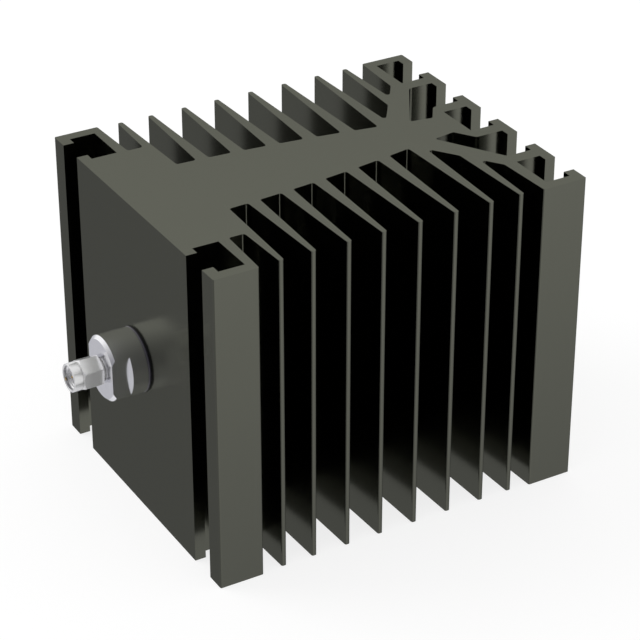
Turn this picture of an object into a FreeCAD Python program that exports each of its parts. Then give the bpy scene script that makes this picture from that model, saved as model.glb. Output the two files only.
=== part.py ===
# RF dummy load: a coaxial load cartridge screwed into an extruded heatsink.
# Millimetres. The origin is the middle of the heatsink's underside, +Z is up,
# the connector points along -Y, and the extrusion runs along Z.

import FreeCAD
import Part
import math
import os

V = FreeCAD.Vector

# Heatsink, outer sizes
sink_width = 100.0
sink_depth = 120.0
sink_height = 100.0
block_round = 0.5

# T-slots for M8 nuts, and the metal left beside and behind them
slot_neck = 9.2
slot_lip = 3.4
slot_inner = 15.0
slot_depth = 11.4
side_wall = 3.5
front_floor = 2.5
rear_floor = 3.2
block_draft = 0.045
shoulder_half = 31.1

# Spine, whose sides bow in towards the rear
spine_half = 16.6
spine_bow = 459.0

# Diagonal arms from the spine to the rear block
arm_inset = 0.2
arm_slope = 0.70
arm_round = 1.6

# Fins: centre of the first behind the front face, then the usual pitch
# and the share of it to each following fin
first_fin = 21.05
fin_pitch = 11.15
pitch_shares = (0.899, 0.998, 0.998, 1.047, 1.048, 1.048, 0.901)
fin_inset = 0.7
fin_tip = 1.52
fin_draft = 0.036
fin_tip_round = 0.55
fin_root_round = 0.9
fin_acute_round = 0.78

# Pockets that the second and fourth rear slots run into, measured from the rear face
pocket_drop = 0.2
pocket_tip_half = 6.9
pocket_tip = 23.8
pocket_waist_half = 5.7
pocket_waist = 16.55
pocket_edge = 12.4
pocket_round = 0.75
pocket_edge_round = 1.8
pocket_wall_round = 1.9

# Load cartridge: head, shank and seal
port_height = 50.0
seal_thickness = 0.35
seal_overhang = 0.25
head_radius = 9.9
head_length = 10.85
head_chamfer = 0.95
head_rear_chamfer = 0.15
wrench_size = 15.5
wrench_length = 5.55
shank_radius = 8.0
shank_wall = 1.8
shank_chamfer = 0.8
undercut_depth = 0.6
undercut_length = 1.35
thread_gap = 0.05
bore_spare = 2.0
drill_angle = 118.0
seat_gap = 0.04

# Coupling nut, its retaining ring and gasket
nut_gap = 1.1
nut_hex = 8.5
nut_hex_length = 6.05
nut_chamfer_angle = 30.0
nut_rear_chamfer = 0.3
nut_wall = 1.05
nut_turn = 30.0
nut_collar_rise = 0.05
nut_collar_length = 2.65
nut_relief_width = 0.4
nut_relief_depth = 0.3
nut_rim_chamfer = 0.2
nut_mouth_recess = 0.4
nut_mouth_depth = 0.8
nut_mouth_chamfer = 0.35
nut_thread_height = 0.35
nut_thread_length = 3.4
nut_play = 0.1
ring_width = 0.5
ring_bite = 0.4
ring_inset = 1.3
ring_opening = 60.0
groove_spare = 0.12
gasket_thickness = 0.5

# Coaxial plug
neck_seat = 8.2
neck_front = 5.3
line_radius = 2.05
sleeve_wall = 0.225
sleeve_length = 1.9
pin_radius = 0.46
pin_nose_radius = 0.15
pin_nose = 0.45
pin_core_radius = 0.635
pin_reach = 2.1
pin_spigot = 2.0

# Line and resistor inside the cartridge
line_ratio = 2.3
cavity_start = 5.0
cone_start_wall = 0.4
conductor_gap = 0.3
conductor_tail = 1.0
bead_thickness = 2.5
rod_radius = 2.2
rod_length = 36.0
cap_wall = 0.2
cap_length = 4.0
cap_gap = 0.2
collet_wall = 0.5
collet_length = 5.2
collet_slots = 4
collet_slot_width = 0.4
collet_flange = 1.5
taper_front_wall = 0.8
taper_rear_gap = 1.1
taper_cones = 5
spring_height = 1.0
spring_thickness = 0.4
spring_width = 2.9
plug_thickness = 4.4
plug_recess = 3.0
plug_socket = 5.0
plug_socket_depth = 2.6

# Sizes that follow: heatsink
half_width = sink_width / 2
front_face = -sink_depth / 2
outer_slot = half_width - side_wall - slot_inner / 2
slot_pitch = outer_slot / 2
front_block = slot_depth + front_floor
rear_block = slot_depth + rear_floor
arm_reach = outer_slot - slot_inner / 2 - arm_inset
overcut = 5.0

# Sizes that follow: depths along the port's axis, from the front face into the heatsink
head_rear = -seal_thickness
head_front = head_rear - head_length
plug_shoulder = head_front - neck_front
reference_plane = plug_shoulder - sleeve_length
neck_end = head_front + neck_seat
ring_start = plug_shoulder + ring_inset
ring_end = ring_start + ring_width
nut_rear = head_front - nut_gap
hex_front = nut_rear - nut_hex_length
collar_rear = hex_front - nut_relief_width
nut_front = collar_rear - nut_collar_length
thread_front = nut_front + nut_mouth_depth
thread_rear = thread_front + nut_thread_length
bead_end = cavity_start + bead_thickness
conductor_end = bead_end + conductor_tail
cap_start = conductor_end + cap_gap
rod_start = cap_start + cap_wall
rod_end = rod_start + rod_length
cap_end = rod_end + cap_wall
contact_start = rod_end - cap_length
flange_start = cap_end + seat_gap
flange_end = flange_start + collet_flange
plug_start = flange_end + spring_height
plug_end = plug_start + plug_thickness
shank_length = plug_end + plug_recess

# Sizes that follow: radii
seal_radius = head_radius + seal_overhang
bore_radius = shank_radius + thread_gap
cavity_radius = shank_radius - shank_wall
part_radius = cavity_radius - seat_gap
nut_bore = nut_hex / 2 - nut_wall
nut_collar_radius = nut_hex / 2 + nut_collar_rise
nut_relief_radius = nut_collar_radius - nut_relief_depth
nut_mouth_radius = nut_bore + nut_mouth_recess
nut_thread_radius = nut_bore - nut_thread_height
neck_radius = nut_bore - nut_play
ring_outer = neck_radius + ring_bite
sleeve_radius = line_radius + sleeve_wall
cone_start_radius = pin_core_radius + cone_start_wall
cap_radius = rod_radius + cap_wall
collet_inner = cap_radius + seat_gap
collet_outer = collet_inner + collet_wall


# Outlines and basic solids

def limited_reach(rounding, half_angle, shorter_side):
    # a corner's round uses at most this much of either side
    return min(rounding / math.tan(half_angle), 0.48 * shorter_side)


def rounded_wire(corners, place):
    # a closed wire through (a, b, rounding) corners, with an arc at each rounded one
    count = len(corners)
    ends = []
    for i in range(count):
        a, b, rounding = corners[i]
        here = V(a, b, 0)
        before = V(corners[i - 1][0], corners[i - 1][1], 0) - here
        after = V(corners[(i + 1) % count][0], corners[(i + 1) % count][1], 0) - here
        if rounding <= 0:
            ends.append((here, None, here))
            continue
        half_angle = before.getAngle(after) / 2
        reach = limited_reach(rounding, half_angle, min(before.Length, after.Length))
        radius = reach * math.tan(half_angle)
        before.normalize()
        after.normalize()
        middle = before + after
        middle.normalize()
        crown = here + middle * (radius / math.sin(half_angle) - radius)
        ends.append((here + before * reach, crown, here + after * reach))
    edges = []
    for i in range(count):
        start, crown, end = ends[i]
        if crown is not None:
            edges.append(Part.Arc(place(start), place(crown), place(end)).toShape())
        following = ends[(i + 1) % count][0]
        if (following - end).Length > 1e-6:
            edges.append(Part.LineSegment(place(end), place(following)).toShape())
    return Part.Wire(edges)


def extrusion(corners, height=sink_height, base=0.0):
    # a prism along Z; corners are (x, distance behind the front face, rounding)
    wire = rounded_wire(corners, lambda p: V(p.x, front_face + p.y, base))
    return Part.Face(wire).extrude(V(0, 0, height))


def turned(corners):
    # a solid of revolution about the port's axis; corners are (depth, radius, rounding),
    # with depth counted from the front face into the heatsink
    wire = rounded_wire(corners, lambda p: V(p.y, front_face + p.x, port_height))
    solid = Part.Face(wire).revolve(V(0, 0, port_height), V(0, 1, 0), 360)
    if solid.Volume < 0:
        solid.reverse()
    return solid


def rod(start, end, radius):
    return Part.makeCylinder(radius, end - start, V(0, front_face + start, port_height), V(0, 1, 0))


def tube(start, end, inner, outer):
    return rod(start, end, outer).cut(rod(start - overcut, end + overcut, inner))


def hexagon(start, end, across_flats, turn):
    # a hexagonal prism along the port's axis, with one corner at the angle turn
    corner = across_flats / 2 / math.cos(math.pi / 6)
    points = []
    for i in range(7):
        angle = math.radians(turn + 60 * i)
        points.append(V(corner * math.cos(angle), front_face + start, port_height + corner * math.sin(angle)))
    return Part.Face(Part.makePolygon(points)).extrude(V(0, end - start, 0))


# Heatsink

def fin_centres():
    centres = [first_fin]
    for share in pitch_shares:
        centres.append(centres[-1] + share * fin_pitch)
    last = sink_depth - rear_block - 2 * fin_tip
    return [centre for centre in centres if centre < last]


def fin_half(x):
    return fin_tip / 2 + fin_draft * (half_width - fin_inset - x)


def front_edge(x):
    return front_block + block_draft * (half_width - x)


def rear_edge(x):
    return sink_depth - rear_block - block_draft * (half_width - x)


def spine_side(y):
    return spine_half - y * y / (2 * spine_bow)


def arm_side(y):
    return arm_reach + (y - rear_edge(arm_reach)) / arm_slope


def core_side(y):
    # half width of the solid core at a distance behind the front face
    if y < first_fin:
        return shoulder_half
    return max(spine_side(y), arm_side(y))


def root_corner(centre, side):
    # where a fin's flank meets the core; side is -1 for its front flank and 1 for its rear one
    x = spine_half
    for _ in range(20):
        y = centre + side * fin_half(x)
        x = core_side(y)
    return x, centre + side * fin_half(x)


def arm_start():
    # distance behind the front face at which the arm leaves the spine
    low = first_fin
    high = rear_edge(arm_reach)
    for _ in range(40):
        middle = (low + high) / 2
        if arm_side(middle) < spine_side(middle):
            low = middle
        else:
            high = middle
    return low


def root_round(y):
    return fin_acute_round if y > arm_start() else fin_root_round


def side_corners():
    # the right side of the section from front to rear
    tip = half_width - fin_inset
    corners = [
        (half_width, 0, block_round),
        (half_width, front_block, block_round),
        (shoulder_half, front_edge(shoulder_half), fin_root_round),
    ]
    kink = arm_start()
    last_root = first_fin
    for centre in fin_centres():
        x, y = root_corner(centre, -1)
        if last_root < kink < y:
            corners.append((spine_side(kink), kink, arm_round))
        corners.append((x, y, arm_round if y > kink else fin_root_round))
        corners.append((tip, centre - fin_tip / 2, fin_tip_round))
        corners.append((tip, centre + fin_tip / 2, fin_tip_round))
        x, last_root = root_corner(centre, 1)
        corners.append((x, last_root, root_round(last_root)))
    if last_root < kink:
        corners.append((spine_side(kink), kink, arm_round))
    corners.append((arm_reach, rear_edge(arm_reach), arm_round))
    corners.append((half_width, sink_depth - rear_block, block_round))
    corners.append((half_width, sink_depth, block_round))
    return corners


def mirrored(corners):
    return [(-x, y, rounding) for x, y, rounding in reversed(corners)]


def slot_corners(centre, face, inward):
    # a T-slot open at a face; inward is 1 for the front face and -1 for the rear one
    neck = slot_neck / 2
    inner = slot_inner / 2
    outside = face - inward * overcut
    lip = face + inward * slot_lip
    floor = face + inward * slot_depth
    return [
        (centre - neck, outside, 0),
        (centre - neck, lip, 0),
        (centre - inner, lip, 0),
        (centre - inner, floor, 0),
        (centre + inner, floor, 0),
        (centre + inner, lip, 0),
        (centre + neck, lip, 0),
        (centre + neck, outside, 0),
    ]


def pocket_corners():
    # the right-hand rear slot that opens into a pocket beside the spine
    neck = slot_neck / 2
    near_wall = slot_pitch - slot_inner / 2
    far_wall = slot_pitch + slot_inner / 2
    outside = sink_depth + overcut
    lip = sink_depth - slot_lip
    return [
        (slot_pitch - neck, outside, 0),
        (slot_pitch - neck, lip, 0),
        (near_wall, lip, 0),
        (near_wall, sink_depth - pocket_edge, pocket_edge_round),
        (pocket_waist_half, sink_depth - pocket_waist, pocket_round),
        (pocket_tip_half, sink_depth - pocket_tip, pocket_round),
        (far_wall, sink_depth - slot_depth - pocket_drop, pocket_wall_round),
        (far_wall, lip, 0),
        (slot_pitch + neck, lip, 0),
        (slot_pitch + neck, outside, 0),
    ]


def cartridge_bore():
    # a drilled and tapped hole with a coned bottom
    depth = shank_length + bore_spare
    cone = bore_radius / math.tan(math.radians(drill_angle / 2))
    return turned([
        (-overcut, 0, 0),
        (-overcut, bore_radius, 0),
        (depth, bore_radius, 0),
        (depth + cone, 0, 0),
    ])


def heatsink():
    right = side_corners()
    body = extrusion(right + mirrored(right))
    cuts = [slot_corners(side * outer_slot, 0, 1) for side in (-1, 1)]
    cuts += [slot_corners(place * outer_slot, sink_depth, -1) for place in (-1, 0, 1)]
    cuts += [pocket_corners(), mirrored(pocket_corners())]
    tools = [extrusion(corners, sink_height + 2 * overcut, -overcut) for corners in cuts]
    return body.cut(tools + [cartridge_bore()])


# Cartridge body and its seal

def sealing_ring():
    return tube(head_rear, 0, bore_radius, seal_radius)


def load_body():
    # outer form: chamfered head, undercut and threaded shank
    undercut = shank_radius - undercut_depth
    outer = turned([
        (head_front, 0, 0),
        (head_front, head_radius - head_chamfer, 0),
        (head_front + head_chamfer, head_radius, 0),
        (head_rear - head_rear_chamfer, head_radius, 0),
        (head_rear, head_radius - head_rear_chamfer, 0),
        (head_rear, undercut, 0),
        (head_rear + undercut_length, undercut, 0),
        (head_rear + undercut_length + undercut_depth, shank_radius, 0),
        (shank_length - shank_chamfer, shank_radius, 0),
        (shank_length, shank_radius - shank_chamfer, 0),
        (shank_length, 0, 0),
    ])
    # inner form: seat for the plug's neck, then the coned start of the line and its straight cavity
    seat = neck_radius + seat_gap
    inner = turned([
        (head_front - overcut, 0, 0),
        (head_front - overcut, seat, 0),
        (neck_end, seat, 0),
        (neck_end, line_ratio * cone_start_radius, 0),
        (cavity_start, line_ratio * cap_radius, 0),
        (cavity_start, cavity_radius, 0),
        (shank_length + overcut, cavity_radius, 0),
        (shank_length + overcut, 0, 0),
    ])
    return outer.cut([inner, wrench_flat(-1), wrench_flat(1)])


def wrench_flat(side):
    # the block that a cutter takes off one side of the head
    width = 2 * head_radius
    start = wrench_size / 2 if side > 0 else -wrench_size / 2 - width
    corner = V(start, front_face + head_front - overcut, port_height - width)
    return Part.makeBox(width, wrench_length + overcut, 2 * width, corner)


# Coaxial plug

def connector_body():
    start = ring_start - groove_spare
    end = ring_end + groove_spare
    groove_floor = neck_radius - ring_bite - groove_spare
    return turned([
        (reference_plane, line_radius, 0),
        (reference_plane, sleeve_radius, 0),
        (plug_shoulder, sleeve_radius, 0),
        (plug_shoulder, neck_radius, 0),
        (start, neck_radius, 0),
        (start, groove_floor, 0),
        (end, groove_floor, 0),
        (end, neck_radius, 0),
        (neck_end, neck_radius, 0),
        (neck_end, line_radius, 0),
    ])


def connector_insulator():
    return tube(reference_plane, neck_end, pin_core_radius + seat_gap, line_radius - seat_gap)


def centre_pin():
    tip = reference_plane - pin_reach
    spigot_end = neck_end + pin_spigot
    return turned([
        (tip, 0, 0),
        (tip, pin_nose_radius, 0),
        (tip + pin_nose, pin_radius, 0),
        (reference_plane, pin_radius, 0),
        (reference_plane, pin_core_radius, 0),
        (neck_end, pin_core_radius, 0),
        (neck_end, pin_radius, 0),
        (spigot_end, pin_radius, 0),
        (spigot_end, 0, 0),
    ])


# Coupling nut

def coupling_nut():
    # the hexagon's corners are chamfered at both ends, and a relief parts it from the collar
    hex_corner = nut_hex / 2 / math.cos(math.pi / 6)
    slope = math.tan(math.radians(nut_chamfer_angle))
    envelope = turned([
        (hex_front, 0, 0),
        (hex_front, nut_relief_radius, 0),
        (hex_front + slope * (hex_corner - nut_relief_radius), hex_corner, 0),
        (nut_rear - slope * nut_rear_chamfer, hex_corner, 0),
        (nut_rear, hex_corner - nut_rear_chamfer, 0),
        (nut_rear, 0, 0),
    ])
    hexed = hexagon(hex_front, nut_rear, nut_hex, nut_turn).common(envelope)
    collar = turned([
        (nut_front, 0, 0),
        (nut_front, nut_collar_radius - nut_rim_chamfer, 0),
        (nut_front + nut_rim_chamfer, nut_collar_radius, 0),
        (collar_rear, nut_collar_radius, 0),
        (collar_rear, nut_relief_radius, 0),
        (hex_front, nut_relief_radius, 0),
        (hex_front, 0, 0),
    ])
    groove_start = ring_start - groove_spare
    groove_end = ring_end + groove_spare
    groove_floor = ring_outer + nut_play
    bore = turned([
        (nut_front - overcut, 0, 0),
        (nut_front - overcut, nut_mouth_radius + nut_mouth_chamfer, 0),
        (nut_front, nut_mouth_radius + nut_mouth_chamfer, 0),
        (nut_front + nut_mouth_chamfer, nut_mouth_radius, 0),
        (thread_front, nut_mouth_radius, 0),
        (thread_front, nut_thread_radius, 0),
        (thread_rear, nut_thread_radius, 0),
        (thread_rear, nut_bore, 0),
        (groove_start, nut_bore, 0),
        (groove_start, groove_floor, 0),
        (groove_end, groove_floor, 0),
        (groove_end, nut_bore, 0),
        (nut_rear + overcut, nut_bore, 0),
        (nut_rear + overcut, 0, 0),
    ])
    return hexed.fuse(collar).cut(bore).removeSplitter()


def retaining_ring():
    whole = tube(ring_start, ring_end, neck_radius - ring_bite, ring_outer)
    wedge_start = V(0, front_face + ring_start - overcut, port_height)
    half = math.radians(ring_opening / 2)
    far = 3 * ring_outer
    left = wedge_start + V(-far * math.sin(half), 0, far * math.cos(half))
    right = wedge_start + V(far * math.sin(half), 0, far * math.cos(half))
    wedge = Part.Face(Part.makePolygon([wedge_start, left, right, wedge_start]))
    return whole.cut(wedge.extrude(V(0, ring_width + 2 * overcut, 0)))


def nut_gasket():
    inner = sleeve_radius + seat_gap
    outer = nut_thread_radius - seat_gap
    return tube(plug_shoulder - gasket_thickness, plug_shoulder, inner, outer)


# Line and resistor inside the cartridge

def inner_conductor():
    start = neck_end + conductor_gap
    hole = pin_radius + seat_gap
    hole_end = start + pin_spigot
    return turned([
        (start, hole, 0),
        (start, cone_start_radius, 0),
        (cavity_start, cap_radius, 0),
        (conductor_end, cap_radius, 0),
        (conductor_end, 0, 0),
        (hole_end, 0, 0),
        (hole_end, hole, 0),
    ])


def support_bead():
    return tube(cavity_start, bead_end, cap_radius + seat_gap, part_radius)


def slotted(shape, start, end):
    # saw cuts across a contact, evenly spaced round it
    for i in range(collet_slots // 2):
        blade = Part.makeBox(
            4 * cavity_radius, end - start, collet_slot_width,
            V(-2 * cavity_radius, front_face + start, port_height - collet_slot_width / 2),
        )
        blade.rotate(V(0, 0, port_height), V(0, 1, 0), 45 + 360 * i / collet_slots)
        shape = shape.cut(blade)
    return shape


def front_collet():
    end = bead_end + collet_length
    whole = tube(bead_end, end, collet_inner, collet_outer)
    return slotted(whole, conductor_end, end + overcut)


def cap(closed_end, direction):
    # a cup over one end of the rod; direction points from its closed end along the rod
    open_end = closed_end + direction * cap_length
    floor = closed_end + direction * cap_wall
    return turned([
        (closed_end, 0, 0),
        (closed_end, cap_radius, 0),
        (open_end, cap_radius, 0),
        (open_end, rod_radius, 0),
        (floor, rod_radius, 0),
        (floor, 0, 0),
    ])


def front_cap():
    return cap(cap_start, 1)


def rear_cap():
    return cap(cap_end, -1)


def resistor_rod():
    return rod(rod_start, rod_end, rod_radius)


def matching_sleeve():
    # its bore narrows along an exponential curve, cut as short cones, as the resistor takes up the voltage
    wide = part_radius - taper_front_wall
    fall = math.log(wide / (rod_radius + taper_rear_gap))
    length = contact_start - bead_end
    corners = [(contact_start, part_radius, 0), (bead_end, part_radius, 0)]
    for i in range(taper_cones + 1):
        share = i / taper_cones
        corners.append((bead_end + length * share, wide * math.exp(-fall * share), 0))
    return turned(corners)


def ground_collet():
    whole = turned([
        (contact_start, collet_inner, 0),
        (contact_start, collet_outer, 0),
        (flange_start, collet_outer, 0),
        (flange_start, part_radius, 0),
        (flange_end, part_radius, 0),
        (flange_end, 0, 0),
        (flange_start, 0, 0),
        (flange_start, collet_inner, 0),
    ])
    return slotted(whole, contact_start - overcut, flange_start)


def disc_spring():
    # a coned washer, its outer edge on the collet's flange and its inner edge on the plug
    hole = part_radius - spring_width
    return turned([
        (flange_end, part_radius, 0),
        (flange_end + spring_thickness, part_radius, 0),
        (plug_start, hole, 0),
        (plug_start - spring_thickness, hole, 0),
    ])


def end_plug():
    whole = rod(plug_start, plug_end, part_radius)
    return whole.cut(hexagon(plug_end - plug_socket_depth, plug_end + overcut, plug_socket, 0))


nodes = {
    "heatsink": heatsink,
    "sealing_ring": sealing_ring,
    "load_body": load_body,
    "connector_body": connector_body,
    "connector_insulator": connector_insulator,
    "centre_pin": centre_pin,
    "coupling_nut": coupling_nut,
    "retaining_ring": retaining_ring,
    "nut_gasket": nut_gasket,
    "inner_conductor": inner_conductor,
    "support_bead": support_bead,
    "front_collet": front_collet,
    "front_cap": front_cap,
    "resistor_rod": resistor_rod,
    "rear_cap": rear_cap,
    "matching_sleeve": matching_sleeve,
    "ground_collet": ground_collet,
    "disc_spring": disc_spring,
    "end_plug": end_plug,
}

os.makedirs("parts", exist_ok=True)
for name, make in nodes.items():
    shape = make()
    if shape.ShapeType != "Solid" and len(shape.Solids) == 1:
        shape = shape.Solids[0]
    shape.exportStep("parts/" + name + ".step")
    print(name, shape.ShapeType, len(shape.Solids), shape.isValid(), round(shape.Volume, 2))
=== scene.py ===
import math
import bmesh
import bpy
from mathutils import Matrix, Vector


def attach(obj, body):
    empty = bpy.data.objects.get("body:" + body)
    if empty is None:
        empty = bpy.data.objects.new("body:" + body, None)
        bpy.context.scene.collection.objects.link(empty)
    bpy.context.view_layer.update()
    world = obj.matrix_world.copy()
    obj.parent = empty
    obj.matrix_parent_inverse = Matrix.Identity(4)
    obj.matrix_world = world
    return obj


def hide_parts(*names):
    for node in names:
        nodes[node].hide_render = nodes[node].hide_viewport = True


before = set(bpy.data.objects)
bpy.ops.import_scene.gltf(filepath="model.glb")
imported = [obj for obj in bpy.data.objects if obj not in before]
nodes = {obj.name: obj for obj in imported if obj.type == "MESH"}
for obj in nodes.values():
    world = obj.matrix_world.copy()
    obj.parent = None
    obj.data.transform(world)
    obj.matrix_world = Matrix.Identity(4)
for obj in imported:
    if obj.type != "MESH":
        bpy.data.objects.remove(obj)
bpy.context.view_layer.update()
scene = bpy.context.scene
mm = 0.001
portHeight = 0.05  # the port's axis runs along Y at this height
frontFace = -0.06  # the heatsink's front plate
past = 1  # mm that a cutting shape reaches beyond the piece
print("frame loaded:", len(nodes), "nodes")


# Node trees: sums on sockets are written as plain expressions

class Value:  # one output socket of a shader or geometry tree
    def __init__(self, paint, socket):
        self.paint = paint
        self.socket = socket

    def apply(self, operation, other=0.0):
        return self.paint.node("ShaderNodeMath", {"operation": operation}, {0: self, 1: other})

    def __add__(self, other):
        return self.apply("ADD", other)

    def __sub__(self, other):
        return self.apply("SUBTRACT", other)

    def __rsub__(self, other):
        return self.paint.node("ShaderNodeMath", {"operation": "SUBTRACT"}, {0: other, 1: self})

    def __mul__(self, other):
        return self.apply("MULTIPLY", other)

    def __truediv__(self, other):
        return self.apply("DIVIDE", other)

    def __gt__(self, other):
        return self.apply("GREATER_THAN", other)

    def __lt__(self, other):
        return self.apply("LESS_THAN", other)

    def __abs__(self):
        return self.apply("ABSOLUTE")

    def clamped(self):
        return self.apply("MAXIMUM", 0.0).apply("MINIMUM", 1.0)

    def output(self, name):  # another output of the same node
        return Value(self.paint, self.socket.node.outputs[name])

    __radd__ = __add__
    __rmul__ = __mul__


class Paint:  # adds nodes to one tree
    def __init__(self, tree):
        self.tree = tree

    def node(self, kind, settings=None, sockets=None, out=0):
        made = self.tree.nodes.new(kind)
        for key, setting in (settings or {}).items():
            setattr(made, key, setting)
        for key, value in (sockets or {}).items():
            if isinstance(value, Value):
                self.tree.links.new(value.socket, made.inputs[key])
            else:
                made.inputs[key].default_value = value
        return Value(self, made.outputs[out]) if len(made.outputs) else None

    def place(self):  # object coordinates, which are the part's own
        return self.node("ShaderNodeTexCoord", out=3)

    def noise(self, vector, scale, detail=2.0, rough=0.5):
        spread = self.node("ShaderNodeMapping", {}, {"Vector": vector, "Scale": scale})
        sockets = {"Vector": spread, "Scale": 1.0, "Detail": detail, "Roughness": rough}
        return self.node("ShaderNodeTexNoise", {}, sockets)

    def colours(self, factor, first, second):
        return self.node("ShaderNodeMix", {"data_type": "RGBA"}, {0: factor, 6: first, 7: second}, 2)

    def recessShade(self, reach):  # painted shade from ambient occlusion: 0 on open faces, towards 1 in narrow recesses
        openness = self.node("ShaderNodeAmbientOcclusion", {"samples": 6}, {"Distance": reach}, 1)
        return (1 - openness).clamped()

    def dot(self, vector, other):
        return self.node("ShaderNodeVectorMath", {"operation": "DOT_PRODUCT"}, {0: vector, 1: other}, 1)

    def bump(self, height, distance):
        return self.node("ShaderNodeBump", {}, {"Height": height, "Distance": distance, "Strength": 1.0})


def opaque(colour):
    return (*colour, 1.0)


pureWhite = opaque((1.0, 1.0, 1.0))


def startMaterial(name):
    material = bpy.data.materials.new(name)
    material.use_nodes = True
    material.node_tree.nodes.clear()
    return material, Paint(material.node_tree)


def endMaterial(paint, sockets):
    shader = paint.node("ShaderNodeBsdfPrincipled", {}, sockets)
    paint.node("ShaderNodeOutputMaterial", {}, {"Surface": shader})


# Anodised extrusion: drawn lines along Z, saw lines on the two cut ends

anodisedSet = {
    "colour": (0.1345, 0.138, 0.112),
    "worn": (0.1275, 0.131, 0.107),
    "edgeTint": 0.5,
    "roughness": 0.185,
    "roughnessSpread": 0.05,
    "drawnLines": (1100.0, 1100.0, 7.0),
    "sawLines": (30.0, 2600.0, 1.0),
    "clouds": (28.0, 28.0, 28.0),
    "lineHeight": 1.3e-6,
    "sawHeight": 0.9e-6,
    "cutRoughness": 0.02,
    "endZone": 0.04995,  # half the height, less a hair
}


def anodised(name, s):
    material, paint = startMaterial(name)
    place = paint.place()
    z = paint.node("ShaderNodeSeparateXYZ", {}, {"Vector": place}, 2)
    cutEnd = abs(z - portHeight) > s["endZone"]
    drawn = paint.noise(place, s["drawnLines"], 3.0, 0.6)
    sawn = paint.noise(place, s["sawLines"], 2.0, 0.5)
    clouds = paint.noise(place, s["clouds"], 3.0, 0.55)
    lines = drawn + (sawn - drawn) * cutEnd
    height = drawn * s["lineHeight"] * (1 - cutEnd) + sawn * s["sawHeight"] * cutEnd
    endMaterial(paint, {
        "Base Color": paint.colours(clouds * 0.7 + lines * 0.3, opaque(s["colour"]), opaque(s["worn"])),
        "Metallic": 1.0,
        "Roughness": s["roughness"] + (lines - 0.5) * s["roughnessSpread"] + cutEnd * s["cutRoughness"],
        "Specular Tint": opaque((s["edgeTint"],) * 3),
        "Normal": paint.bump(height, 1.0),
    })
    return material


# Turned and polished metals: fine rings round the port's axis, and shade painted into the bores

def turnedMetal(name, s):
    material, paint = startMaterial(name)
    place = paint.place()
    x = paint.node("ShaderNodeSeparateXYZ", {}, {"Vector": place})
    y = x.output("Y")
    z = x.output("Z") - portHeight
    radius = (x * x + z * z).apply("SQRT")
    rings = paint.noise(paint.node("ShaderNodeCombineXYZ", {}, {0: radius, 1: y}), (s["rings"],) * 3, 2.0)
    clouds = paint.noise(place, (s["clouds"],) * 3, 2.0)
    plain = paint.colours(clouds, opaque(s["colour"]), opaque(s["shade"]))
    # painted shade: near the axis the colour darkens towards a dark grey in narrow recesses that ambient
    # occlusion finds
    recessShade = paint.recessShade(s["recessShadeReach"]) * (radius < s["recessShadeRadius"])
    endMaterial(paint, {
        "Base Color": paint.colours(recessShade * s["recessShadeTone"], plain, opaque(s["recessShade"])),
        "Metallic": s["metallic"],
        "Roughness": s["roughness"] + (rings + clouds - 1) * s["roughnessSpread"],
        "Normal": paint.bump(rings, s["ringHeight"]),
    })
    return material


turnedBase = {  # bare metal with shade painted into its colour in the bores, within a set radius of the axis
    "metallic": 1.0,
    # the colour of the shade painted into the bores
    "recessShade": (0.10, 0.095, 0.09),
    "recessShadeReach": 0.0035,
    "recessShadeTone": 0.9,
    "recessShadeRadius": 0.0037,
}
turnedSets = {
    "headMetal": {
        "colour": (0.93, 0.93, 0.95), "shade": (0.89, 0.89, 0.92), "roughness": 0.19,
        "roughnessSpread": 0.03, "rings": 9000.0, "clouds": 160.0, "ringHeight": 2.5e-7,
    },
    "nutMetal": {
        "colour": (0.90, 0.90, 0.90), "shade": (0.86, 0.86, 0.87), "roughness": 0.18, "metallic": 0.6,
        "roughnessSpread": 0.04, "rings": 7000.0, "clouds": 300.0, "ringHeight": 1.5e-7,
    },
    "boreMetal": {
        "colour": (0.88, 0.88, 0.88), "shade": (0.82, 0.82, 0.83), "roughness": 0.14, "recessShadeTone": 0.25,
        "roughnessSpread": 0.04, "rings": 7000.0, "clouds": 300.0, "ringHeight": 1.5e-7,
    },
    "plugMetal": {
        "colour": (0.92, 0.92, 0.92), "shade": (0.88, 0.88, 0.89), "roughness": 0.16, "metallic": 0.4,
        "recessShadeTone": 0.2, "roughnessSpread": 0.05, "rings": 9000.0, "clouds": 500.0, "ringHeight": 3e-7,
    },
    "gold": {
        "colour": (0.94, 0.68, 0.30), "shade": (0.88, 0.60, 0.24), "roughness": 0.16,
        "roughnessSpread": 0.05, "rings": 9000.0, "clouds": 700.0, "ringHeight": 3e-7,
    },
    "bronze": {
        "colour": (0.76, 0.55, 0.34), "shade": (0.68, 0.47, 0.27), "roughness": 0.28,
        "roughnessSpread": 0.08, "rings": 6000.0, "clouds": 400.0, "ringHeight": 5e-7,
    },
    "silverCap": {
        "colour": (0.86, 0.86, 0.84), "shade": (0.80, 0.79, 0.76), "roughness": 0.22,
        "roughnessSpread": 0.08, "rings": 6000.0, "clouds": 600.0, "ringHeight": 4e-7,
    },
    "brass": {
        "colour": (0.80, 0.62, 0.33), "shade": (0.72, 0.54, 0.27), "roughness": 0.25,
        "roughnessSpread": 0.08, "rings": 4000.0, "clouds": 200.0, "ringHeight": 9e-7,
    },
    "springSteel": {
        "colour": (0.56, 0.56, 0.58), "shade": (0.47, 0.46, 0.47), "roughness": 0.3,
        "roughnessSpread": 0.08, "rings": 3000.0, "clouds": 300.0, "ringHeight": 9e-7,
    },
}


# Rubber, plastics and ceramic: a fine grain and a slight unevenness of tone

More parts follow.
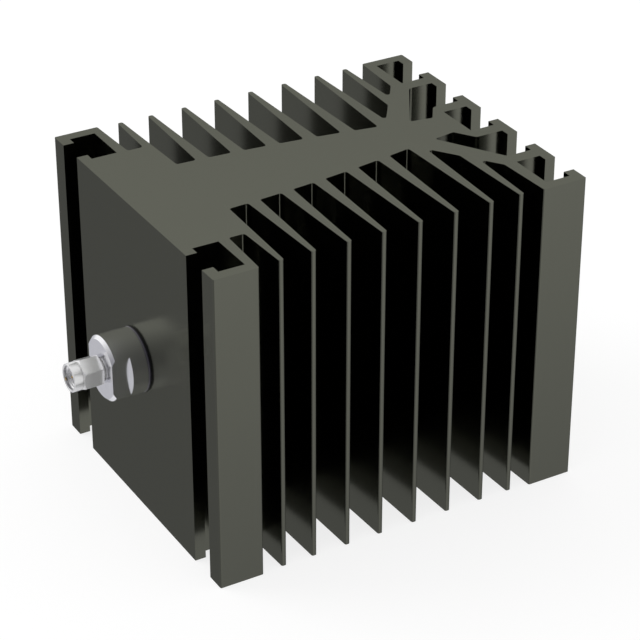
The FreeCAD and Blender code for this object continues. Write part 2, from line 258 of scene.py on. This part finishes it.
def moulded(name, s):
    material, paint = startMaterial(name)
    place = paint.place()
    grain = paint.noise(place, (s["grain"],) * 3, 3.0, 0.6)
    clouds = paint.noise(place, (s["clouds"],) * 3, 2.0)
    endMaterial(paint, {
        "Base Color": paint.colours(clouds * 0.6 + grain * 0.4, opaque(s["colour"]), opaque(s["shade"])),
        "Roughness": s["roughness"] + (grain - 0.5) * s["roughnessSpread"],
        "Normal": paint.bump(grain, s["grainHeight"]),
        "Specular IOR Level": s["gloss"],
        "Subsurface Weight": s["glow"],
        "Subsurface Radius": (0.001, 0.0008, 0.0006),
    })
    return material


mouldedSets = {
    "rubber": {
        "colour": (0.018, 0.015, 0.026), "shade": (0.022, 0.019, 0.032), "roughness": 0.08, "glow": 0.0,
        "roughnessSpread": 0.04, "grain": 5000.0, "clouds": 400.0, "grainHeight": 2e-7, "gloss": 1.0,
    },
    "silicone": {
        "colour": (0.50, 0.10, 0.06), "shade": (0.42, 0.08, 0.05), "roughness": 0.5, "glow": 0.1,
        "roughnessSpread": 0.1, "grain": 5000.0, "clouds": 600.0, "grainHeight": 2e-6, "gloss": 0.4,
    },
    "ptfe": {
        "colour": (0.86, 0.86, 0.84), "shade": (0.80, 0.80, 0.77), "roughness": 0.42, "glow": 0.2,
        "roughnessSpread": 0.08, "grain": 6000.0, "clouds": 700.0, "grainHeight": 1e-6, "gloss": 0.4,
    },
    "amber": {
        "colour": (0.60, 0.36, 0.12), "shade": (0.52, 0.29, 0.09), "roughness": 0.3, "glow": 0.2,
        "roughnessSpread": 0.1, "grain": 4000.0, "clouds": 500.0, "grainHeight": 1e-6, "gloss": 0.5,
    },
    "ceramic": {
        "colour": (0.13, 0.115, 0.105), "shade": (0.18, 0.16, 0.145), "roughness": 0.45, "glow": 0.0,
        "roughnessSpread": 0.1, "grain": 3500.0, "clouds": 300.0, "grainHeight": 2e-6, "gloss": 0.5,
    },
}

finishes = {"anodised": anodised("anodised", anodisedSet)}
for name, s in turnedSets.items():
    finishes[name] = turnedMetal(name, {**turnedBase, **s})
for name, s in mouldedSets.items():
    finishes[name] = moulded(name, s)
print("finishes made:", len(finishes))

nodeFinishes = {
    "heatsink": "anodised",
    "sealing_ring": "rubber",
    "load_body": "headMetal",
    "connector_body": "plugMetal",
    "connector_insulator": "ptfe",
    "centre_pin": "gold",
    "coupling_nut": "nutMetal",
    "retaining_ring": "bronze",
    "nut_gasket": "silicone",
    "inner_conductor": "gold",
    "support_bead": "amber",
    "front_collet": "bronze",
    "front_cap": "silverCap",
    "resistor_rod": "ceramic",
    "rear_cap": "silverCap",
    "matching_sleeve": "brass",
    "ground_collet": "bronze",
    "disc_spring": "springSteel",
    "end_plug": "brass",
}
for name, finish in nodeFinishes.items():
    nodes[name].data.materials.clear()
    nodes[name].data.materials.append(finishes[finish])


# Meshes turned about the port's axis

def softened(corners, steps=5):  # (depth, radius, rounding) corners in mm to points, with each corner rounded
    points = []
    count = len(corners)
    mostOfEdge = 0.48  # so that two roundings on one edge never meet
    for i, (depth, radius, rounding) in enumerate(corners):
        here = Vector((depth, radius))
        before = Vector(corners[i - 1][:2]) - here
        after = Vector(corners[(i + 1) % count][:2]) - here
        if rounding <= 0 or i in (0, count - 1):
            points.append(here)
            continue
        half = before.angle(after) / 2
        reach = min(rounding / math.tan(half), mostOfEdge * before.length, mostOfEdge * after.length)
        arcRadius = reach * math.tan(half)
        middle = here + (before.normalized() + after.normalized()).normalized() * (arcRadius / math.sin(half))
        start = here + before.normalized() * reach - middle
        end = here + after.normalized() * reach - middle
        turn = start.angle_signed(end)
        for k in range(steps + 1):
            swung = start.copy()
            swung.rotate(Matrix.Rotation(-turn * k / steps, 2))
            points.append(middle + swung)
    return points


def onAxis(depth, radius, angle):  # depth and radius in mm, depth counted from the front plate
    x, rise = radius * mm * math.cos(angle), radius * mm * math.sin(angle)
    return Vector((x, frontFace + depth * mm, portHeight + rise))


def meshObject(name, mesh):
    obj = bpy.data.objects.new(name, mesh)
    scene.collection.objects.link(obj)
    return obj


def closedMesh(name, build):  # fills a mesh with bmesh, joins its doubles and turns its faces outwards
    bm = bmesh.new()
    build(bm)
    bmesh.ops.remove_doubles(bm, verts=bm.verts, dist=1e-7)
    bmesh.ops.recalc_face_normals(bm, faces=bm.faces)
    mesh = bpy.data.meshes.new(name)
    bm.to_mesh(mesh)
    bm.free()
    return meshObject(name, mesh)


def turned(name, corners, segments=192):
    points = softened(corners)

    def build(bm):
        rings = []
        for point in points:
            if point.y < 1e-6:
                rings.append([bm.verts.new(onAxis(point.x, 0, 0))])
            else:
                turns = [2 * math.pi * k / segments for k in range(segments)]
                rings.append([bm.verts.new(onAxis(point.x, point.y, turn)) for turn in turns])
        for low, high in zip(rings, rings[1:]):
            for k in range(segments):
                following = (k + 1) % segments
                loop = [low[k % len(low)], low[following % len(low)]]
                loop += [high[following % len(high)], high[k % len(high)]]
                bm.faces.new([v for i, v in enumerate(loop) if v not in loop[:i]])
    return closedMesh(name, build)


def prism(name, outline, start, end):  # outline is (x, height above the axis) in mm
    def build(bm):
        ends = []
        for depth in (start, end):
            y = frontFace + depth * mm
            ends.append([bm.verts.new((x * mm, y, portHeight + h * mm)) for x, h in outline])
            bm.faces.new(ends[-1])
        for k in range(len(outline)):
            following = (k + 1) % len(outline)
            bm.faces.new((ends[0][k], ends[0][following], ends[1][following], ends[1][k]))
    return closedMesh(name, build)


def plainMesh(obj):  # the modifiers' result as the piece's own mesh
    result = bpy.data.meshes.new_from_object(obj.evaluated_get(bpy.context.evaluated_depsgraph_get()))
    obj.modifiers.clear()
    obj.data = result


def combine(base, steps):  # exact booleans, one after the other, with the tools taken away afterwards
    for operation, tool in steps:
        modifier = base.modifiers.new(operation, "BOOLEAN")
        modifier.operation = operation
        modifier.solver = "EXACT"
        modifier.object = tool
    plainMesh(base)
    for _, tool in steps:
        bpy.data.objects.remove(tool)
    return base


def shade(obj, finish, degrees=28):  # large faces keep their own direction, small rounds blend between them
    obj.data.shade_smooth()
    obj.data.set_sharp_from_angle(angle=math.radians(degrees))
    even = obj.modifiers.new("even", "WEIGHTED_NORMAL")
    even.keep_sharp = True
    even.mode = "FACE_AREA_WITH_ANGLE"  # by area alone does nothing on a part this small
    plainMesh(obj)
    obj.data.materials.clear()
    obj.data.materials.append(finishes[finish])
    return obj


# Screw threads by geometry nodes: a closed ring with a helical face

def threadTree():
    flankGain, rootFlat = 1.35, 0.15  # cut a triangle wave off to a flat root and a flat crest
    tree = bpy.data.node_groups.new("screwThread", "GeometryNodeTree")
    for label in ("Start", "Length", "Pitch", "Root", "Crest", "Wall", "Run-out", "Phase", "Height"):
        tree.interface.new_socket(label, in_out="INPUT", socket_type="NodeSocketFloat")
    for label in ("Segments", "Rows"):
        tree.interface.new_socket(label, in_out="INPUT", socket_type="NodeSocketInt")
    tree.interface.new_socket("Finish", in_out="INPUT", socket_type="NodeSocketMaterial")
    tree.interface.new_socket("Geometry", in_out="OUTPUT", socket_type="NodeSocketGeometry")
    paint = Paint(tree)
    given = paint.node("NodeGroupInput")
    rows = given.output("Rows")
    sheet = paint.node("GeometryNodeMeshGrid", {}, {
        "Size X": 1.0, "Size Y": 1.0, "Vertices X": given.output("Segments") + 1, "Vertices Y": rows + 4,
    })
    # three more rows close the ring: the wall at the far end, the wall at the start, and the first row again
    across = paint.node("ShaderNodeSeparateXYZ", {}, {0: paint.node("GeometryNodeInputPosition")})
    turn = across + 0.5
    row = (across.output("Y") + 0.5) * (rows + 3)
    backRow = row > rows + 1.5
    wallRow = (row > rows + 0.5) * (row < rows + 2.5)
    share = (row / rows).clamped() * (1 - backRow)
    along = share * given.output("Length")
    edge = along.apply("MINIMUM", given.output("Length") - along)
    ramp = (edge / given.output("Run-out")).clamped()
    wave = (along / given.output("Pitch") + turn + given.output("Phase")).apply("FRACT")
    ridge = ((1 - abs(wave * 2 - 1)) * flankGain - rootFlat).clamped() * ramp
    radius = given.output("Root") + (given.output("Crest") - given.output("Root")) * ridge
    radius = radius + (given.output("Wall") - radius) * wallRow
    angle = turn * (2 * math.pi)
    where = paint.node("ShaderNodeCombineXYZ", {}, {
        0: radius * angle.apply("COSINE"),
        1: given.output("Start") + along,
        2: given.output("Height") + radius * angle.apply("SINE"),
    })
    rolled = paint.node("GeometryNodeSetPosition", {}, {"Geometry": sheet, "Position": where})
    closed = paint.node("GeometryNodeMergeByDistance", {}, {"Geometry": rolled, "Distance": 1e-6})
    real = paint.node("GeometryNodeRealizeInstances", {}, {"Geometry": closed})
    finish = given.output("Finish")
    dressed = paint.node("GeometryNodeSetMaterial", {}, {"Geometry": real, "Material": finish})
    paint.node("NodeGroupOutput", {}, {"Geometry": dressed})
    return tree


def screwThread(name, tree, s, finish):
    obj = meshObject(name, bpy.data.meshes.new(name))
    modifier = obj.modifiers.new("thread", "NODES")
    modifier.node_group = tree
    values = {**s, "Finish": finishes[finish], "Height": portHeight}
    for item in tree.interface.items_tree:
        if item.in_out == "INPUT":
            modifier[item.identifier] = values[item.name]
    plainMesh(obj)
    bm = bmesh.new()
    bm.from_mesh(obj.data)
    bmesh.ops.recalc_face_normals(bm, faces=bm.faces)
    bm.to_mesh(obj.data)
    bm.free()
    return shade(obj, finish, 40)


threads = threadTree()


# Coupling nut: hexagon with eased corners, collar, open mouth and its thread

nutSet = {  # mm and degrees, depths counted from the front plate
    "front": -21.4,
    "collarRear": -18.6,
    "hexFront": -18.35,
    "rear": -12.15,
    "hexSize": 8.6,
    "hexTurn": 28.0,
    "cornerEase": 0.5,
    "chamferAngle": 30.0,
    "rearChamfer": 0.3,
    "collarRadius": 4.3,
    "collarEase": (0.2, 0.1, 0.05),
    "reliefRadius": 4.12,
    "mouthRadius": 3.6,
    "mouthDepth": 0.95,
    "mouthChamfer": 0.12,
    "mouthEase": (0.05, 0.04),
    "bore": 3.2,
    "boreChamfer": 0.12,
    "ring": (-15.32, -14.58),
    "ringFloor": 3.6,
}
nutThreadSet = {
    "Start": frontFace - 20.05 * mm,
    "Length": 2.85 * mm,
    "Pitch": 25.4 / 36 * mm,
    "Root": 3.175 * mm,
    "Crest": 2.85 * mm,
    "Wall": 3.2 * mm,
    "Run-out": 0.25 * mm,
    "Phase": 0.1,
    "Segments": 144,
    "Rows": 64,
}


def easedHexagon(size, turnDegrees, ease, steps=4):
    corner = size / 2 / math.cos(math.pi / 6)
    centre = corner - ease / math.cos(math.pi / 6)
    outline = []
    for k in range(6):
        middle = math.radians(turnDegrees + 60 * k)
        for step in range(steps + 1):
            angle = middle + math.radians(-30 + 60 * step / steps)
            x = centre * math.cos(middle) + ease * math.cos(angle)
            outline.append((x, centre * math.sin(middle) + ease * math.sin(angle)))
    return outline


def boreFinish(obj, finish, reach):  # bare machined metal inside, satin outside
    obj.data.materials.append(finishes[finish])
    for face in obj.data.polygons:
        inside = math.hypot(face.center.x, face.center.z - portHeight) < reach * mm
        face.material_index = 1 if inside else 0
    return obj


def makeNut(s):
    corner = s["hexSize"] / 2 / math.cos(math.pi / 6)
    slope = math.tan(math.radians(s["chamferAngle"]))
    frontRadius = s["reliefRadius"] - 0.02  # just inside the relief, so that no two faces lie on each other
    frontEnd = s["hexFront"] + slope * (corner - frontRadius)
    rearStart = s["rear"] - slope * s["rearChamfer"]
    overlap = 0.4
    outline = easedHexagon(s["hexSize"], s["hexTurn"], s["cornerEase"])
    hexagon = prism("nut_shell", outline, s["hexFront"], s["rear"])
    envelope = turned("envelope", [
        (s["hexFront"] - past, 0, 0),
        (s["hexFront"] - past, frontRadius, 0),
        (s["hexFront"], frontRadius, 0),
        (frontEnd, corner, 0),
        (frontEnd, corner + past, 0),
        (rearStart, corner + past, 0),
        (rearStart, corner, 0),
        (s["rear"], corner - s["rearChamfer"], 0),
        (s["rear"] + past, corner - s["rearChamfer"], 0),
        (s["rear"] + past, 0, 0),
    ])
    frontEase, rearEase, rootEase = s["collarEase"]
    collar = turned("collar", [
        (s["front"], 0, 0),
        (s["front"], s["collarRadius"], frontEase),
        (s["collarRear"], s["collarRadius"], rearEase),
        (s["collarRear"], s["reliefRadius"], rootEase),
        (s["hexFront"] + overlap, s["reliefRadius"], 0),
        (s["hexFront"] + overlap, 0, 0),
    ])
    ringStart, ringEnd = s["ring"]
    lipEase, floorEase = s["mouthEase"]
    mouthFloor = s["front"] + s["mouthDepth"]
    hole = turned("hole", [
        (s["front"] - past, 0, 0),
        (s["front"] - past, s["mouthRadius"] + s["mouthChamfer"] + past, 0),
        (s["front"] + s["mouthChamfer"], s["mouthRadius"], lipEase),
        (mouthFloor, s["mouthRadius"], floorEase),
        (mouthFloor + s["mouthRadius"] - s["bore"], s["bore"], 0),
        (ringStart, s["bore"], 0),
        (ringStart, s["ringFloor"], 0),
        (ringEnd, s["ringFloor"], 0),
        (ringEnd, s["bore"], 0),
        (s["rear"] - s["boreChamfer"], s["bore"], 0),
        (s["rear"], s["bore"] + s["boreChamfer"], 0),
        (s["rear"] + past, s["bore"] + s["boreChamfer"], 0),
        (s["rear"] + past, 0, 0),
    ])
    combine(hexagon, [("INTERSECT", envelope), ("UNION", collar), ("DIFFERENCE", hole)])
    return boreFinish(shade(hexagon, "nutMetal"), "boreMetal", s["mouthRadius"] + lipEase)


nutShell = makeNut(nutSet)
nutThread = screwThread("nut_thread", threads, nutThreadSet, "boreMetal")
print("nut made:", len(nutShell.data.polygons), "faces, thread", len(nutThread.data.polygons))


# Load cartridge: polished head with wrench flats, threaded shank, coned bore, soft seal behind the head

loadSet = {  # mm, depths counted from the front plate
    "headFront": -11.2,
    "headRear": -0.79,
    "headRadius": 9.9,
    "frontChamfer": 0.95,
    "frontEase": 0.07,
    "rearEase": 0.12,
    "flatHalf": 7.75,
    "flatReach": 14,
    "flatEnd": -5.65,
    "shankCore": 7.39,
    "shankEnd": 55.04,
    "shankChamfer": (0.4, 0.2),
    "seat": (3.14, -3.0),  # radius, end
    "cone": (2.38, 5.52, 5.0),  # first radius, last radius, end
    "cavity": 6.2,
    "boreSegments": 96,
}
sealSet = {  # a glossy ring, rounder towards the head than towards the plate
    "front": -0.78,
    "rear": -0.01,
    "inner": 7.7,
    "outer": 10.0,
    "frontRound": 0.7,
    "rearRound": 0.06,
}
shankThreadSet = {
    "Start": frontFace + 1.3 * mm,
    "Length": 53.3 * mm,
    "Pitch": 1.0 * mm,
    "Root": 7.39 * mm,
    "Crest": 8.0 * mm,
    "Wall": 7.3 * mm,
    "Run-out": 0.8 * mm,
    "Phase": 0.0,
    "Segments": 96,
    "Rows": 320,
}


def makeLoad(s):
    endLength, endDepth = s["shankChamfer"]
    body = turned("load_shell", [
        (s["headFront"], 0, 0),
        (s["headFront"], s["headRadius"] - s["frontChamfer"], s["frontEase"]),
        (s["headFront"] + s["frontChamfer"], s["headRadius"], s["frontEase"]),
        (s["headRear"], s["headRadius"], s["rearEase"]),
        (s["headRear"], s["shankCore"], 0),
        (s["shankEnd"] - endLength, s["shankCore"], 0),
        (s["shankEnd"], s["shankCore"] - endDepth, 0),
        (s["shankEnd"], 0, 0),
    ])
    seatRadius, seatEnd = s["seat"]
    coneStart, coneEnd, cavityStart = s["cone"]
    inner = turned("inner", [
        (s["headFront"] - past, 0, 0),
        (s["headFront"] - past, seatRadius, 0),
        (seatEnd, seatRadius, 0),
        (seatEnd, coneStart, 0),
        (cavityStart, coneEnd, 0),
        (cavityStart, s["cavity"], 0),
        (s["shankEnd"] + past, s["cavity"], 0),
        (s["shankEnd"] + past, 0, 0),
    ], s["boreSegments"])
    steps = [("DIFFERENCE", inner)]
    for side in (-1, 1):
        near, far, reach = side * s["flatHalf"], side * s["flatReach"], s["flatReach"]
        outline = [(near, -reach), (far, -reach), (far, reach), (near, reach)]
        steps.append(("DIFFERENCE", prism("flat", outline, s["headFront"] - past, s["flatEnd"])))
    combine(body, steps)
    return shade(body, "headMetal")


def makeSeal(s):
    ring = turned("seal_shell", [
        (s["rear"], s["inner"], 0),
        (s["front"], s["inner"], 0),
        (s["front"], s["outer"], s["frontRound"]),
        (s["rear"], s["outer"], s["rearRound"]),
        (s["rear"], s["inner"], 0),
    ])
    return shade(ring, "rubber", 40)


loadShell = makeLoad(loadSet)
sealShell = makeSeal(sealSet)
shankThread = screwThread("shank_thread", threads, shankThreadSet, "headMetal")
print("cartridge made:", len(loadShell.data.polygons), "faces, thread", len(shankThread.data.polygons))

for piece, body, slot in (
    (nutShell, "nut", "polished_steel"),
    (nutThread, "nut", "polished_steel"),
    (loadShell, "load", "nickel_brass"),
    (shankThread, "load", "nickel_brass"),
    (sealShell, "load", "black_rubber"),
):
    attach(piece, body)
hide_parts("coupling_nut")
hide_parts("load_body")
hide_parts("sealing_ring")


# Studio: a room for the metal to mirror, a white floor that keeps the shadow, one soft lamp

studioSet = {
    "upper": (1.0, 1.0, 1.0),
    "lower": (0.5, 0.5, 0.53),
    "tilt": (0.295, -0.165, 1.0),
    "rampStart": -0.498,
    "rampWidth": 0.256,
    "frontSide": (0.5, -0.85, 0.15),
    "frontStart": 0.2,
    "frontWidth": 0.8,
    "front": (0.22, 0.22, 0.24),
    "underStart": 0.62,
    "underWidth": 0.25,
    "under": (0.75, 0.75, 0.77),
    "softLight": 0.72,
    "floorReach": 6.0,
    "floorLevel": -0.0002,
    "floorColour": (0.92, 0.92, 0.92),
    "floorGlow": 0.72,
    "floorWhite": 1.11,
    "lampPlace": (-0.9, -1.0, 1.35),
    "lampSize": 0.9,
    "lampPower": 8.0,
}


def addRoom(s):
    world = bpy.data.worlds.new("studio")
    scene.world = world
    world.use_nodes = True
    world.node_tree.nodes.clear()
    paint = Paint(world.node_tree)
    direction = paint.node("ShaderNodeTexCoord")
    rise = paint.dot(direction, s["tilt"])
    front = paint.dot(direction, s["frontSide"])
    down = paint.dot(direction, (0.0, 0.0, -1.0))
    bright = ((rise - s["rampStart"]) / s["rampWidth"]).clamped()
    dim = ((front - s["frontStart"]) / s["frontWidth"]).clamped()
    under = ((down - s["underStart"]) / s["underWidth"]).clamped()
    # mirrored it is white above, grey below and darker in front; matt surfaces get one plain light from it
    room = paint.colours(bright, opaque(s["lower"]), opaque(s["upper"]))
    room = paint.colours(dim, room, opaque(s["front"]))
    room = paint.colours(under, room, opaque(s["under"]))
    path = paint.node("ShaderNodeLightPath")
    colour = paint.colours(path.output("Is Camera Ray"), room, pureWhite)
    colour = paint.colours(path.output("Is Diffuse Ray"), colour, opaque((s["softLight"],) * 3))
    light = paint.node("ShaderNodeBackground", {}, {"Color": colour})
    paint.node("ShaderNodeOutputWorld", {}, {"Surface": light})


def addFloor(s):
    mesh = bpy.data.meshes.new("floor")
    reach = s["floorReach"]
    sides = ((-reach, -reach), (reach, -reach), (reach, reach), (-reach, reach))
    mesh.from_pydata([(x, y, s["floorLevel"]) for x, y in sides], [], [(0, 1, 2, 3)])
    floor = meshObject("floor", mesh)
    material, paint = startMaterial("floorPaint")
    path = paint.node("ShaderNodeLightPath")
    matt = paint.node("ShaderNodeBsdfDiffuse", {}, {"Color": opaque(s["floorColour"])})
    white = paint.node("ShaderNodeEmission", {}, {"Color": pureWhite, "Strength": s["floorWhite"]})
    glow = path.output("Is Camera Ray") * s["floorGlow"]
    seen = paint.node("ShaderNodeMixShader", {}, {0: glow, 1: matt, 2: white})
    clear = paint.node("ShaderNodeBsdfTransparent")  # in mirrors the room takes the floor's place
    both = paint.node("ShaderNodeMixShader", {}, {0: path.output("Is Glossy Ray"), 1: seen, 2: clear})
    paint.node("ShaderNodeOutputMaterial", {}, {"Surface": both})
    mesh.materials.append(material)


def addLamp(s):
    light = bpy.data.lights.new("softLamp", "AREA")
    light.shape = "SQUARE"
    light.size = s["lampSize"]
    light.energy = s["lampPower"]
    lamp = bpy.data.objects.new("softLamp", light)
    lamp.location = s["lampPlace"]
    aim = Vector((0, 0, portHeight)) - lamp.location
    lamp.rotation_euler = aim.to_track_quat("-Z", "Y").to_euler()
    lamp.visible_glossy = False  # the room alone is mirrored in the metal
    scene.collection.objects.link(lamp)


addRoom(studioSet)
addFloor(studioSet)
addLamp(studioSet)
print("studio made")


# Camera at the photograph's viewpoint

cameraSet = {
    "position": (0.5441, -0.3128, 0.4080),
    "right": (0.5, 0.8660, 0.0),
    "up": (-0.4330, 0.25, 0.8660),
    "back": (0.75, -0.4330, 0.5),
    "lens": 135.68,
    "sensor": 36.0,
    "clip": (0.01, 50.0),
}


def addCamera(s):
    lens = bpy.data.cameras.new("camera")
    lens.lens = s["lens"]
    lens.sensor_width = s["sensor"]
    lens.clip_start, lens.clip_end = s["clip"]
    camera = bpy.data.objects.new("camera", lens)
    axes = Matrix((s["right"], s["up"], s["back"])).transposed().to_4x4()
    camera.matrix_world = Matrix.Translation(s["position"]) @ axes
    scene.collection.objects.link(camera)
    scene.camera = camera


addCamera(cameraSet)
scene.view_settings.view_transform = "Standard"
